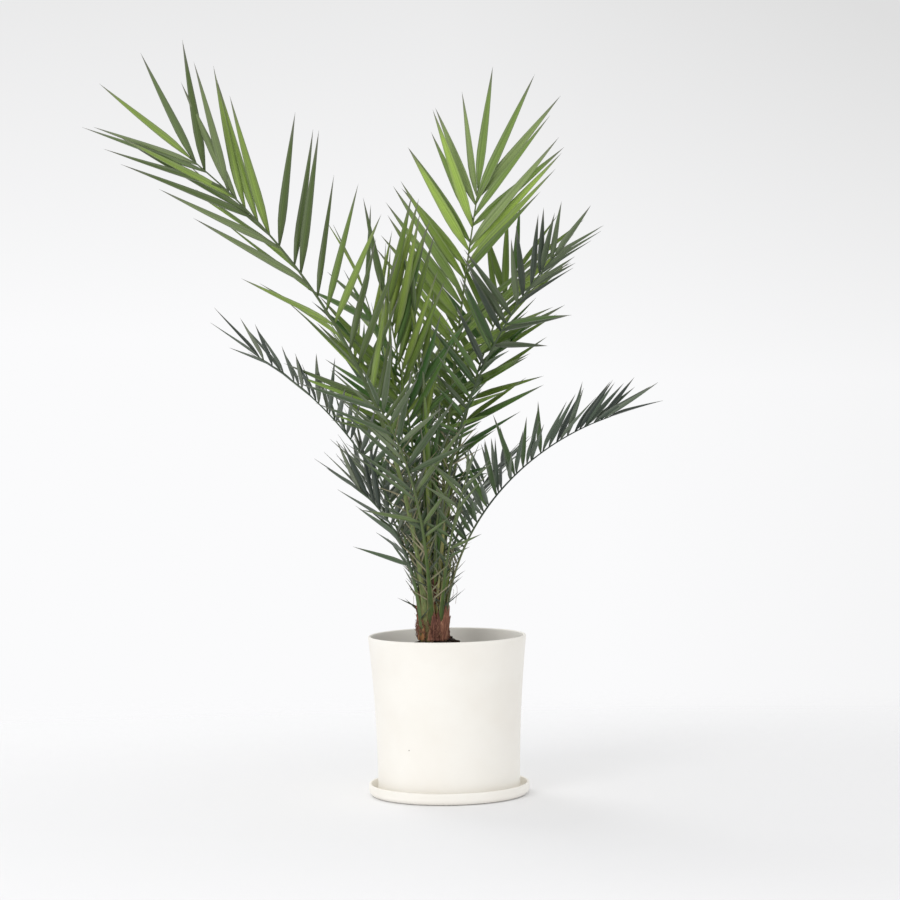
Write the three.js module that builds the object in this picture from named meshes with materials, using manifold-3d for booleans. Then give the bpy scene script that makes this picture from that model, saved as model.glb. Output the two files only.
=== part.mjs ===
// A young date palm in a round ceramic planter that stands on its saucer.
// Millimetres, +Z up, +X to the right and +Y to the back of the planter as it is seen.
// The origin is the middle of the saucer's flat underside.

import * as THREE from 'three';
import { mergeVertices } from 'three/addons/utils/BufferGeometryUtils.js';
import Module from 'manifold-3d';

const wasm = await Module();
wasm.setup();

// Driving dimensions
const seatGap = 0.3;
const saucer = { radius: 151.5, footRadius: 146, height: 22.6, wall: 5, floor: 6, lip: 2 };
const pot = {
  rimRadius: 150, footRadius: 134, height: 294, swell: 2.1, wall: 6, floor: 8, holeRadius: 12, footChamfer: 3,
};
const soil = { ground: 292, edgeDrop: 24, flatShare: 0.27, lumps: 2.4, lumpsAcross: 0.21, lumpsDeep: 0.17 };
const stem = {
  x: -26, y: 0, footRadius: 32, flare: 28, waist: 26.5, waistHeight: 48, height: 92, topRadius: 13, lean: 4,
};
const boots = { count: 13, width: 24, thickness: 8, length: 38, low: 14, high: 62, tilt: 14, spiral: 137.5 };
const rachis = { steps: 13, tipWidth: 2.6, taper: 0.6, flatness: 0.72, twistedBy: 0.4 };
const blade = { widest: 0.34, leastWidth: 4, slimness: 0.052, thinness: 0.013, sunk: 0.4 };
const roundSides = 36;
const coreSides = 14;

// Along a frond the leaflets start short, are full from the share grown on, may fade past the share late,
// and close up towards the tip, where the one that ends the rib is shorter by the share end. Pairs stand in
// twos, nearer or further by the share clump of their spacing.
const feather = { start: 0.28, grown: 0.4, late: 0.6, closing: 2.5, last: 0.995, end: 0.88, clump: 0.17 };

// How far a leaflet strays: its place in shares of the spacing, its angles in degrees, its length as a share
const stray = { place: 0.3, open: 7, rise: 14, length: 0.1 };

// Each frond: turn is the way it faces, seen from above, at its foot and at its tip, lean its slope from
// upright at both ends, foot its place on the stem, out and up, bare the share with no leaflets, spread the
// leaflets' angle to the rib at both ends, rise how far they stand up, and roll the twist of the whole blade.
// Loose is how much more than usual they stray, and broad how wide they are for their length. Draws lists the
// draw that each leaflet takes, counted on from the frond's seed, and -1 where a leaflet is missing.
const fronds = {
  frond_high_left: {
    turn: [240, 196], lean: [7.5, 51], bend: 1, length: 1034, foot: [20, 8], width: 13, bare: 0.36,
    pairs: 22, leaf: 244, spread: [48, 22], rise: 22, roll: 48, fade: 0.1, seed: 75,
    loose: 2, broad: 1,
    draws: [
      846, 409, 234, 788, 508, 130, 810, 274, 481, 571, 294, 219, -1, 683, 56, -1, 181, 125, -1, 458, 174,
      911, 21, -1, 501, 646, 500, 895, 15, 919, 862, 726, 887, 462, 776, 384, 427, 381, 860, 342, 956,
      904, 106, 492, 402,
    ],
  },
  frond_high_right: {
    turn: [40, 50], lean: [2, 15], bend: 0.8, length: 830, foot: [10, 40], width: 11, bare: 0.42,
    pairs: 20, leaf: 241, spread: [58, 18], rise: -4, roll: 16, fade: -0.06, seed: 29,
    loose: 1.4, broad: 1.2,
    draws: [
      655, 888, 898, 0, 532, 650, 750, 48, 922, 37, 247, 135, 834, 44, 605, 904, 330, 877, 574, 865, -1,
      405, -1, 712, 573, 484, 19, 234, 568, 184, 519, 333, 190, 91, 492, 393, 498, 396, 750, 645, 694,
    ],
  },
  frond_right: {
    turn: [-26, -24], lean: [-3, 45], bend: 1.1, length: 752, foot: [14, 30], width: 10, bare: 0.45,
    pairs: 19, leaf: 138, spread: [69, 28], rise: 28, roll: -40, fade: 0.14, seed: 1577,
    loose: 1.8, broad: 1.35,
    draws: [
      895, 187, 22, 314, 346, 624, 375, 815, 760, 631, 37, 151, 977, 970, 432, 606, 62, 491, 480, 292,
      155, 276, 824, 70, 528, 1, 234, 535, 349, 945, 930, 23, 610, 215, 33, 486, 104, 362, 513,
    ],
  },
  frond_low_right: {
    turn: [-17, 3], lean: [2, 72], bend: 0.9, length: 538, foot: [24, 22], width: 9, bare: 0.26,
    pairs: 20, leaf: 111, spread: [66, 15], rise: 62, roll: 18, fade: -0.04, seed: 1886,
    loose: 1.6, broad: 1.25,
    draws: [
      228, 970, 637, 816, 650, 697, 285, 25, 46, 738, 140, 319, 269, 597, 459, 834, 805, 619, 592, 209,
      19, 604, 501, 752, 550, 718, 776, -1, 621, 711, 384, 432, 159, 630, 370, 754, 426, 649, 149, 106,
      608,
    ],
  },
  frond_left: {
    turn: [210, 191], lean: [9, 58], bend: 1.1, length: 616, foot: [15, 34], width: 9, bare: 0.24,
    pairs: 21, leaf: 114, spread: [70, 37], rise: 24, roll: 12, fade: -0.1, seed: 1410,
    loose: 1.6, broad: 1.15,
    draws: [
      481, 300, 412, 31, 532, 35, 233, 50, 127, 84, 504, 482, 534, 85, 433, 487, 258, 100, 479, 74, 24,
      590, 454, 344, 570, 373, 172, 385, 198, 672, 413, 419, 584, 198, 535, 99, 217, 134, 164, 530, 420,
      545, 303,
    ],
  },
  frond_low_left: {
    turn: [218, 203], lean: [5, 54], bend: 1.4, length: 316, foot: [27, 14], width: 8, bare: 0.21,
    pairs: 14, leaf: 156, spread: [70, 10], rise: 54, roll: 46, fade: 0.38, seed: 1446,
    loose: 1.6, broad: 1.2,
    draws: [
      443, 513, 197, 540, 94, 193, 366, 271, 635, 505, 553, 0, 225, 392, 323, 682, 72, 464, 383, 158, 58,
      554, 3, 320, 347, 533, 380, 565, 29,
    ],
  },
  frond_front_left: {
    turn: [264, 236], lean: [12, 46], bend: 1, length: 480, foot: [26, 30], width: 9, bare: 0.34,
    pairs: 10, leaf: 165, spread: [56, 30], rise: 22, roll: 10, fade: 0.1, seed: 246,
    loose: 2.3, broad: 1.1,
    draws: [
      348, 32, 721, 54, 997, 240, 748, 936, 973, 58, 947, 0, 398, 75, 597, 729, 323, 93, 190, 939, 937,
    ],
  },
  frond_back_left: {
    turn: [140, 152], lean: [4, 20], bend: 1, length: 652, foot: [17, 38], width: 10, bare: 0.41,
    pairs: 13, leaf: 197, spread: [59, 23], rise: 0, roll: 54, fade: 0.1, seed: 96,
    loose: 1.6, broad: 1.15,
    draws: [
      32, 407, 115, 135, 182, 492, 495, 440, 105, 223, 561, 604, 586, 463, 86, 490, 190, 228, 248, 301,
      396, 390, 586, -1, 528, 535, 459,
    ],
  },
  frond_back_right: {
    turn: [44, 44], lean: [4, 36], bend: 1.2, length: 700, foot: [20, 40], width: 10, bare: 0.34,
    pairs: 17, leaf: 180, spread: [65, 18], rise: 14, roll: 20, fade: -0.04, seed: 1184,
    loose: 1.4, broad: 1.15,
    draws: [
      674, 276, 182, 335, 320, 296, 0, 54, 312, 62, 106, 154, 655, 46, 538, 527, 614, 467, 285, 0, 115,
      681, 398, 467, 527, 429, 218, 581, 628, 666, 485, 381, 551, 61, 545,
    ],
  },
  frond_inner: {
    turn: [170, 206], lean: [2, 12], bend: 1, length: 600, foot: [8, 50], width: 9, bare: 0.48,
    pairs: 14, leaf: 230, spread: [45, 18], rise: -15, roll: 85, fade: 0.12, seed: 190,
    loose: 1.6, broad: 1.15,
    draws: [
      336, 0, 0, 630, 0, 626, 536, 465, 173, 24, 247, 227, 256, 965, 453, 727, 891, 877, -1, 757, -1, 760,
      -1, 703, -1, 0, -1, 0, 620,
    ],
  },
  frond_back: {
    turn: [88, 92], lean: [8, 58], bend: 1, length: 640, foot: [26, 24], width: 9, bare: 0.32,
    pairs: 15, leaf: 150, spread: [62, 20], rise: 30, roll: 0, fade: 0.2, seed: 22,
    loose: 1, broad: 1.15,
  },
  frond_rear_left: {
    turn: [118, 124], lean: [10, 46], bend: 1, length: 580, foot: [24, 34], width: 9, bare: 0.34,
    pairs: 15, leaf: 140, spread: [62, 20], rise: 30, roll: 0, fade: 0.2, seed: 13,
    loose: 1, broad: 1.15,
  },
  frond_low_back: {
    turn: [68, 60], lean: [14, 74], bend: 1, length: 440, foot: [28, 14], width: 8, bare: 0.3,
    pairs: 13, leaf: 115, spread: [65, 20], rise: 35, roll: 0, fade: 0.2, seed: 14,
    loose: 1, broad: 1.15,
  },
  frond_low_rear_left: {
    turn: [130, 118], lean: [12, 66], bend: 1.2, length: 400, foot: [28, 14], width: 8, bare: 0.3,
    pairs: 13, leaf: 110, spread: [65, 20], rise: 35, roll: 0, fade: 0.2, seed: 15,
    loose: 1, broad: 1.15,
  },
  frond_front_right: {
    turn: [300, 286], lean: [6, 50], bend: 1.1, length: 340, foot: [28, 20], width: 8, bare: 0.36,
    pairs: 9, leaf: 92, spread: [58, 22], rise: 30, roll: 0, fade: 0.2, seed: 16,
    loose: 1.8, broad: 1.1,
    draws: [562, 968, 495, 12, 197, 359, 679, 102, 501, 448, 832, 504, 0, 0, 0, 554, 965, 239, 630],
  },
};
const spear = {
  turn: [200, 215], lean: [0, 6], bend: 1, length: 560, foot: [0, 60], width: 9, bare: 0.3,
  pairs: 7, leaf: 190, spread: [9, 5], rise: 30, roll: 40, fade: 0.3, seed: 20,
  loose: 1, broad: 1.15,
  draws: [801, 0, 610, 0, 589, -1, 892, 941, 767, 0, 772, -1, 298, -1, 0],
};

const finish = {
  glaze: { color: 0xf3f0e8, roughness: 0.45 },
  earth: { color: 0x2a211b, roughness: 0.95 },
  fibre: { color: 0x6e4a3c, roughness: 0.9 },
  bright: { color: 0x6f9440, roughness: 0.5 },
  middle: { color: 0x4d7038, roughness: 0.5 },
  dark: { color: 0x3b5238, roughness: 0.55 },
};

const tones = {
  frond_high_left: 'bright', frond_high_right: 'bright', frond_back_left: 'middle', frond_inner: 'middle',
  frond_back_right: 'middle', frond_back: 'middle', frond_rear_left: 'middle', frond_front_left: 'middle',
  frond_front_right: 'middle', spear: 'middle',
};

// A repeatable draw from 0 to 1, and one from -1 to 1
function chance(seed, n) {
  const x = Math.sin(seed * 12.9898 + n * 78.233) * 43758.5453;
  return x - Math.floor(x);
}

function wobble(seed, n) {
  return 2 * chance(seed, n) - 1;
}

const radians = THREE.MathUtils.degToRad;
const mix = THREE.MathUtils.lerp;

// Solids and meshes
function solidOf(geometry) {
  const bare = geometry.clone();
  bare.deleteAttribute('normal');
  bare.deleteAttribute('uv');
  const merged = mergeVertices(bare, 1e-4);
  return new wasm.Manifold(new wasm.Mesh({
    numProp: 3,
    vertProperties: new Float32Array(merged.attributes.position.array),
    triVerts: new Uint32Array(merged.index.array),
  }));
}

function geometryOf(solid) {
  const mesh = solid.getMesh();
  const geometry = new THREE.BufferGeometry();
  geometry.setAttribute('position', new THREE.BufferAttribute(mesh.vertProperties, 3));
  geometry.setIndex(new THREE.BufferAttribute(mesh.triVerts, 1));
  geometry.computeVertexNormals();
  return geometry;
}

function piece(name, geometry, look) {
  const mesh = new THREE.Mesh(geometry, new THREE.MeshStandardMaterial(finish[look]));
  mesh.name = name;
  return mesh;
}

// A closed ring or disc turned about Z from a profile of radius and height pairs
function turned(profile, sides = roundSides) {
  const points = profile.map(([r, z]) => new THREE.Vector2(r, z));
  return new THREE.LatheGeometry(points, sides).rotateX(Math.PI / 2);
}

// Saucer, pot and soil
const potBase = saucer.floor + seatGap;
const potTop = potBase + pot.height;

function potRadius(z) {
  const share = THREE.MathUtils.clamp((z - potBase) / pot.height, 0, 1);
  return pot.footRadius + (pot.rimRadius - pot.footRadius) * share ** pot.swell;
}

function saucerGeometry() {
  const { radius, footRadius, height, wall, floor, lip } = saucer;
  return turned([
    [0, 0],
    [footRadius, 0],
    [radius, radius - footRadius],
    [radius, height - lip],
    [radius - wall / 2, height],
    [radius - wall, height - lip],
    [radius - wall, floor + lip],
    [radius - wall - lip, floor],
    [0, floor],
  ]);
}

function potGeometry() {
  const { wall, floor, holeRadius } = pot;
  const outer = [0.02, 0.2, 0.4, 0.6, 0.8, 0.985].map((share) => potBase + share * pot.height);
  const inner = [0.98, 0.75, 0.5, 0.25].map((share) => potBase + share * pot.height);
  const floorTop = potBase + floor;
  return turned([
    [holeRadius, potBase],
    [potRadius(potBase) - pot.footChamfer, potBase],
    ...outer.map((z) => [potRadius(z), z]),
    [potRadius(potTop) - wall / 2, potTop],
    ...inner.map((z) => [potRadius(z) - wall, z]),
    [potRadius(floorTop) - wall, floorTop],
    [holeRadius, floorTop],
    [holeRadius, potBase],
  ]);
}

// The rings of the soil's top slide from the pot's axis to the stem's, where it is flat and highest
function soilGeometry() {
  const { ground, edgeDrop, flatShare, lumps, lumpsAcross, lumpsDeep } = soil;
  const bottom = potBase + pot.floor + seatGap;
  const edge = ground - edgeDrop - lumps;
  const wallAt = (z) => potRadius(z) - pot.wall - 2 * seatGap;
  const sideShares = [0, 0.27, 0.5, 0.75, 1];
  const topShares = [0.86, 0.72, 0.56, flatShare, flatShare / 2];
  const geometry = turned([
    [0, bottom],
    ...sideShares.map((share) => mix(bottom, edge, share)).map((z) => [wallAt(z), z]),
    ...topShares.map((share) => [share * wallAt(edge), ground]),
    [0, ground],
  ]);
  const position = geometry.attributes.position;
  for (let i = 0; i < position.count; i += 1) {
    const [x, y, z] = [position.getX(i), position.getY(i), position.getZ(i)];
    const share = Math.hypot(x, y) / wallAt(edge);
    if (z > edge + 1) {
      const slope = THREE.MathUtils.smoothstep(share, flatShare, 1);
      const lump = lumps * Math.sqrt(slope) * Math.sin(x * lumpsAcross + 1) * Math.cos(y * lumpsDeep);
      position.setX(i, x + (1 - share) * stem.x);
      position.setZ(i, ground - slope * edgeDrop + lump);
    }
  }
  return geometry;
}

// The way a frond runs at the share s of its length, with its sideways and upward directions
function frondFrame(frond, s) {
  const lean = radians(mix(frond.lean[0], frond.lean[1], s ** frond.bend));
  const turn = radians(mix(frond.turn[0], frond.turn[1], s));
  const roll = radians(frond.roll) * Math.min(1, s / rachis.twistedBy);
  const outward = new THREE.Vector3(Math.cos(turn), Math.sin(turn), 0);
  const along = outward.clone().multiplyScalar(Math.sin(lean)).setZ(Math.cos(lean));
  const level = new THREE.Vector3(-outward.y, outward.x, 0);
  const inward = new THREE.Vector3().crossVectors(along, level);
  const side = level.clone().multiplyScalar(Math.cos(roll)).addScaledVector(inward, Math.sin(roll));
  const up = inward.clone().multiplyScalar(Math.cos(roll)).addScaledVector(level, -Math.sin(roll));
  return { along, side, up };
}

function ribPoints(frond) {
  const turn = radians(frond.turn[0]);
  const [out, high] = frond.foot;
  const point = new THREE.Vector3(stem.x, stem.y, soil.ground + high);
  point.add(new THREE.Vector3(out * Math.cos(turn), out * Math.sin(turn), 0));
  const points = [point.clone()];
  for (let i = 0; i < rachis.steps; i += 1) {
    const { along } = frondFrame(frond, (i + 0.5) / rachis.steps);
    point.addScaledVector(along, frond.length / rachis.steps);
    points.push(point.clone());
  }
  return points;
}

function ribPoint(points, s) {
  const place = THREE.MathUtils.clamp(s, 0, 1) * (points.length - 1);
  const i = Math.min(Math.floor(place), points.length - 2);
  return points[i].clone().lerp(points[i + 1], place - i);
}

// A three-sided rod bent along the rib, narrowing to its tip
function ribSolid(frond, grow = 0) {
  const points = ribPoints(frond);
  const geometry = new THREE.CylinderGeometry(1, 1, 1, 3, rachis.steps);
  const position = geometry.attributes.position;
  for (let i = 0; i < position.count; i += 1) {
    const s = position.getY(i) + 0.5;
    const { side, up } = frondFrame(frond, s);
    const half = mix(frond.width, rachis.tipWidth, s ** rachis.taper) / 2 + grow;
    const spot = ribPoint(points, s);
    spot.addScaledVector(side, position.getX(i) * half);
    spot.addScaledVector(up, -position.getZ(i) * half * rachis.flatness);
    position.setXYZ(i, spot.x, spot.y, spot.z);
  }
  return solidOf(geometry);
}

// One leaflet is an eight-faced blade: its eight faces meet at root, tip, two edges and two flats
const unitBlade = new THREE.OctahedronGeometry(1);
for (let i = 0; i < unitBlade.attributes.position.count; i += 1) {
  if (Math.abs(unitBlade.attributes.position.getX(i)) < 0.5) {
    unitBlade.attributes.position.setX(i, 2 * blade.widest - 1);
  }
}

function bladeSolid(root, along, across, length, broad, grow = 0) {
  const flat = new THREE.Vector3().crossVectors(along, across);
  const half = length / 2 + blade.sunk / 2 + grow;
  const width = broad * (blade.leastWidth + blade.slimness * length);
  const matrix = new THREE.Matrix4().makeBasis(
    along.clone().multiplyScalar(half),
    across.clone().multiplyScalar(width / 2 + grow),
    flat.clone().multiplyScalar(length * blade.thinness / 2 + grow),
  );
  matrix.setPosition(root.clone().addScaledVector(along, half - blade.sunk - grow));
  return solidOf(unitBlade.clone().applyMatrix4(matrix));
}

function leafShare(u, fade) {
  const grown = mix(feather.start, 1, Math.sin(Math.min(u / feather.grown, 1) * Math.PI / 2));
  return grown * (1 - fade * (Math.max(0, u - feather.late) / (1 - feather.late)) ** 2);
}

// Leaflets are numbered from the stem, left and right by turns, and the last one ends the rib
function leafletPlan(frond, k) {
  const { pairs, bare, spread, loose, draws = [] } = frond;
  const draw = draws[k] ?? 0;
  const seed = frond.seed + draw;
  const pair = Math.floor(k / 2);
  const isLast = pair === pairs;
  const clump = pair % 2 === 0 ? feather.clump : -feather.clump;
  const u = isLast ? 1 : (pair + 0.5 + stray.place * wobble(seed, k) + clump) / pairs;
  const open = isLast ? 0 : mix(spread[0], spread[1], u ** feather.closing);
  const full = isLast ? feather.end * frond.leaf : frond.leaf;
  return {
    isLast,
    grows: draw >= 0,
    s: bare + (1 - bare) * u * feather.last,
    sign: k % 2 === 0 ? -1 : 1,
    open: open + loose * stray.open * wobble(seed, k + 100),
    rise: frond.rise + loose * stray.rise * wobble(seed, k + 200),
    length: full * leafShare(u, frond.fade) * (1 + stray.length * wobble(seed, k + 300)),
  };
}

function leaflet(frond, points, plan, [openMore, riseMore, shorter], grow = 0) {
  const { along, side, up } = frondFrame(frond, plan.s);
  const open = radians(plan.open + openMore);
  const rise = radians(plan.rise + riseMore);
  const outward = side.clone().multiplyScalar(plan.sign * Math.cos(rise)).addScaledVector(up, Math.sin(rise));
  const way = along.clone().multiplyScalar(Math.cos(open)).addScaledVector(outward, Math.sin(open));
  const level = plan.isLast ? side : along;
  const across = level.clone().addScaledVector(way, -level.dot(way)).normalize();
  return bladeSolid(ribPoint(points, plan.s), way, across, plan.length * shorter, frond.broad, grow);
}

function boxesMeet(a, b) {
  return [0, 1, 2].every((i) => a.min[i] <= b.max[i] && b.min[i] <= a.max[i]);
}

// What is in place so far, each with its owner, so that every frond keeps to its own space
const placed = [];

function place(owner, solid) {
  placed.push({ owner, solid, box: solid.boundingBox() });
}

function isFree(owner, solid) {
  const box = solid.boundingBox();
  return placed.every((other) => {
    if (other.owner === owner || !boxesMeet(box, other.box)) return true;
    const shared = solid.intersect(other.solid);
    const empty = shared.isEmpty();
    shared.delete();
    return empty;
  });
}

// A leaflet that would touch another frond is turned a little, then made shorter, or else left out.
// Each try is an added opening and an added rise in degrees, and a share of the length.
const tries = [
  [0, 0, 1], [5, 0, 1], [-5, 0, 1], [0, 12, 1], [0, -12, 1], [10, 10, 1], [-10, 10, 1], [10, -14, 1],
  [-10, -14, 1], [16, 0, 0.9], [-14, 0, 0.9], [0, 24, 0.9], [0, -24, 0.9], [0, 0, 0.6], [10, 16, 0.6],
];

function frondSolid(name, frond, rib) {
  const points = ribPoints(frond);
  let solid = rib;
  for (let k = 0; k <= 2 * frond.pairs; k += 1) {
    const plan = leafletPlan(frond, k);
    const fits = (change) => isFree(name, leaflet(frond, points, plan, change, seatGap));
    const fitting = plan.grows && tries.find(fits);
    if (fitting) {
      const leaf = leaflet(frond, points, plan, fitting);
      solid = solid.add(leaf);
      place(name, leaf);
    }
  }
  return solid;
}

// The stem is a swollen foot with a waist and a blunt top, clad in the cut bases of old leaves
function stemSolid() {
  const { footRadius, flare, waist, waistHeight, height, topRadius, lean } = stem;
  const core = turned([
    [0, 0],
    [footRadius, 0],
    [footRadius - 1, flare / 2],
    [mix(footRadius, waist, 0.6), flare],
    [waist, waistHeight],
    [mix(waist, topRadius, 0.4), mix(waistHeight, height, 0.5)],
    [topRadius, height - 4],
    [0, height],
  ], coreSides);
  let solid = solidOf(core);
  for (let i = 0; i < boots.count; i += 1) {
    const share = i / (boots.count - 1);
    const turn = radians(i * boots.spiral);
    const out = mix(footRadius - 4, topRadius + 6, share ** 1.5);
    const boot = new THREE.OctahedronGeometry(1)
      .scale(boots.width / 2, boots.thickness, boots.length / 2)
      .rotateX(-radians(boots.tilt))
      .rotateZ(turn - Math.PI / 2)
      .translate(out * Math.cos(turn), out * Math.sin(turn), mix(boots.low, boots.high, share));
    solid = solid.add(solidOf(boot));
  }
  const side = 4 * footRadius;
  const below = solidOf(new THREE.BoxGeometry(side, side, height).translate(0, 0, -height / 2));
  const shear = new THREE.Matrix4().makeShear(0, 0, 0, 0, Math.tan(radians(-lean)), 0);
  shear.setPosition(stem.x, stem.y, soil.ground + seatGap);
  return solidOf(geometryOf(solid.subtract(below)).applyMatrix4(shear));
}

// The petioles' beds leave a few loose scraps, which are dropped
function largestBody(solid) {
  return solid.decompose().reduce((most, body) => (body.volume() > most.volume() ? body : most));
}

const palm = new THREE.Group();

function build() {
  const everyFrond = { ...fronds, spear };
  const ribs = Object.fromEntries(Object.entries(everyFrond).map(([name, frond]) => [name, ribSolid(frond)]));
  let trunk = stemSolid();
  for (const frond of Object.values(everyFrond)) trunk = trunk.subtract(ribSolid(frond, 2 * seatGap));
  trunk = largestBody(trunk);

  palm.add(piece('saucer', saucerGeometry(), 'glaze'));
  palm.add(piece('pot', potGeometry(), 'glaze'));
  palm.add(piece('soil', soilGeometry(), 'earth'));
  palm.add(piece('trunk', geometryOf(trunk), 'fibre'));

  place('trunk', trunk);
  place('soil', solidOf(soilGeometry()));
  place('pot', solidOf(potGeometry()));
  for (const [name, rib] of Object.entries(ribs)) place(name, rib);
  for (const [name, frond] of Object.entries(everyFrond)) {
    const solid = frondSolid(name, frond, ribs[name]);
    palm.add(piece(name, geometryOf(solid), tones[name] ?? 'dark'));
  }
}

build();

export default palm;
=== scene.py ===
import random
from math import atan2, cos, degrees, exp, hypot, pi, radians, sin, sqrt

import bmesh
import bpy
from mathutils import Matrix, Vector, noise


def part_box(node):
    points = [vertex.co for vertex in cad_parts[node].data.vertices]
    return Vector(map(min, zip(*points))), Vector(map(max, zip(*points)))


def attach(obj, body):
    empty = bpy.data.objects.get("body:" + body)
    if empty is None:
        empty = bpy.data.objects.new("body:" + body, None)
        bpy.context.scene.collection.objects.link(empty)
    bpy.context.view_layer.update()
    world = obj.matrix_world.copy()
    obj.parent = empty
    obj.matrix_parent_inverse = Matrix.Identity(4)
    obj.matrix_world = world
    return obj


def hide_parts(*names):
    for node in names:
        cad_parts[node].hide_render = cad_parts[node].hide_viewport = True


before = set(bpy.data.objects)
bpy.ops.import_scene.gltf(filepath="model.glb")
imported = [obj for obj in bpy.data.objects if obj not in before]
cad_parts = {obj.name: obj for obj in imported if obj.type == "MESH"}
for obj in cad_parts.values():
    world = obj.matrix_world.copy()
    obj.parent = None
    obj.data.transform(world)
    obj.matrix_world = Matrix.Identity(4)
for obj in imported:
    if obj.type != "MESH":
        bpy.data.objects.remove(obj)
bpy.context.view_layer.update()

# A young date palm in a cream ceramic planter, shaped in millimetres and scaled to metres piece by piece
metre = 1000
body = "root"
upright = Vector((0, 0, 1))


def mix(a, b, share):
    return a + (b - a) * share


def clamp(value):
    return max(0.0, min(1.0, value))


def spaced(a, b, steps):
    return [mix(a, b, i / steps) for i in range(steps + 1)]


def smoothstep(value, low, high):
    share = clamp((value - low) / (high - low))
    return share * share * (3 - 2 * share)


def chance(seed, n):        # a repeatable draw from 0 to 1
    x = sin(seed * 12.9898 + n * 78.233) * 43758.5453
    return x - x // 1


def wobble(seed, n):
    return 2 * chance(seed, n) - 1


def screenColour(red, green, blue):        # a colour as a screen shows it, made linear
    shares = [c / 255 for c in (red, green, blue)]
    return tuple(c / 12.92 if c <= 0.04045 else ((c + 0.055) / 1.055) ** 2.4 for c in shares) + (1,)


# Materials

white, black = (1, 1, 1, 1), (0, 0, 0, 1)


def grey(share):
    return (share, share, share, 1)


def feed(value, socket):        # a socket takes a plain value or another socket's output
    if isinstance(value, bpy.types.NodeSocket):
        socket.id_data.links.new(value, socket)
    else:
        socket.default_value = value


def newMaterial(name, look):
    material = bpy.data.materials.new(name)
    material.use_nodes = True
    shader = material.node_tree.nodes["Principled BSDF"]
    feed(look["roughness"], shader.inputs["Roughness"])
    feed(look["specular"], shader.inputs["Specular IOR Level"])
    return material, shader


def node(beside, kind, values=None, **settings):        # in the same tree as the node or socket beside it
    made = beside.id_data.nodes.new(kind)
    for key, value in settings.items():
        setattr(made, key, value)
    for key, value in (values or {}).items():
        feed(value, made.inputs[key])
    return made


def stretched(shader, space, scale=(1, 1, 1)):
    place = node(shader, "ShaderNodeTexCoord").outputs[space]
    return node(shader, "ShaderNodeMapping", {"Scale": scale, "Vector": place}).outputs["Vector"]


def speckle(vector, scale, detail=3, roughness=0.55):
    values = {"Vector": vector, "Scale": scale, "Detail": detail, "Roughness": roughness}
    return node(vector, "ShaderNodeTexNoise", values).outputs["Fac"]


def uvSplit(shader):        # across a leaf or rod, and along it
    split = node(shader, "ShaderNodeSeparateXYZ", {"Vector": stretched(shader, "UV")})
    return split.outputs["X"], split.outputs["Y"]


def ramp(factor, places, colours):
    made = node(factor, "ShaderNodeValToRGB", {"Fac": factor})
    band = made.color_ramp
    while len(band.elements) < len(colours):
        band.elements.new(0.5)
    for element, place, colour in zip(band.elements, places, colours):
        element.position = place
        element.color = colour
    return made.outputs["Color"]


def blend(base, top, share=1.0, mode="MIX"):        # lays one colour over another
    values = {0: share, 6: base, 7: top}
    return node(base, "ShaderNodeMix", values, data_type="RGBA", blend_type=mode).outputs[2]


def dress(shader, colour, height, depth):        # gives a surface its colour and its relief
    feed(colour, shader.inputs["Base Color"])
    bump = node(shader, "ShaderNodeBump", {"Height": height, "Distance": depth, "Strength": 1})
    feed(bump.outputs["Normal"], shader.inputs["Normal"])


glaze = dict(
    colour=screenColour(250, 247, 240), faded=screenColour(247, 243, 235), roughness=0.42, specular=0.4,
    cloudScale=9, cloudPlaces=(0.35, 0.62), grain=(420, 2), depth=0.00012,
)


def glazeMaterial():
    material, shader = newMaterial("creamGlaze", glaze)
    place = stretched(shader, "Object")
    cloud = speckle(place, glaze["cloudScale"])
    colour = ramp(cloud, glaze["cloudPlaces"], (glaze["faded"], glaze["colour"]))
    dress(shader, colour, speckle(place, *glaze["grain"]), glaze["depth"])
    return material


# Grain is the scale, detail and roughness of a noise, and stretch the scale of the space that it lies in
earthFinish = dict(
    roughness=0.95, specular=0.2, stretch=(1, 1, 1), grain=(160, 6, 0.7), places=(0.35, 0.7), depth=0.0015,
)
fibreFinish = dict(
    roughness=0.85, specular=0.25, stretch=(420, 420, 60), grain=(1, 5, 0.65), places=(0.32, 0.5, 0.68),
    depth=0.0012,
)


def grainyMaterial(name, finish, colours):        # soil or fibre, coloured from its hollows to its ridges: its own mottled tone, with painted shade in the hollows
    material, shader = newMaterial(name, finish)
    grain = speckle(stretched(shader, "Object", finish["stretch"]), *finish["grain"])
    # the noise that makes the bump also picks the colour, so the dark end in the hollows is painted shade
    colour = ramp(grain, finish["places"], [screenColour(*c) for c in colours])
    dress(shader, colour, grain, finish["depth"])
    return material


# Leaf green: one plain colour for a leaflet, streaked, duller at the edges, dark at its root, dry at its tip
leafFinish = dict(
    roughness=0.45, specular=0.4, veins=(14, 1.2, 1), veinGrain=(1, 2), veinPlaces=(0.34, 0.66),
    veinShift=0.28, veinDepth=0.0003, rootShade=0.6, rootPlaces=(0, 0.16), edgeShare=0.75,
    edgePlaces=(0, 0.34, 0.66, 1), dull=screenColour(138, 142, 128), dullShare=0.4,
    dryTip=screenColour(112, 110, 104), dryPlaces=(0.74, 0.99),
)


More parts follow.
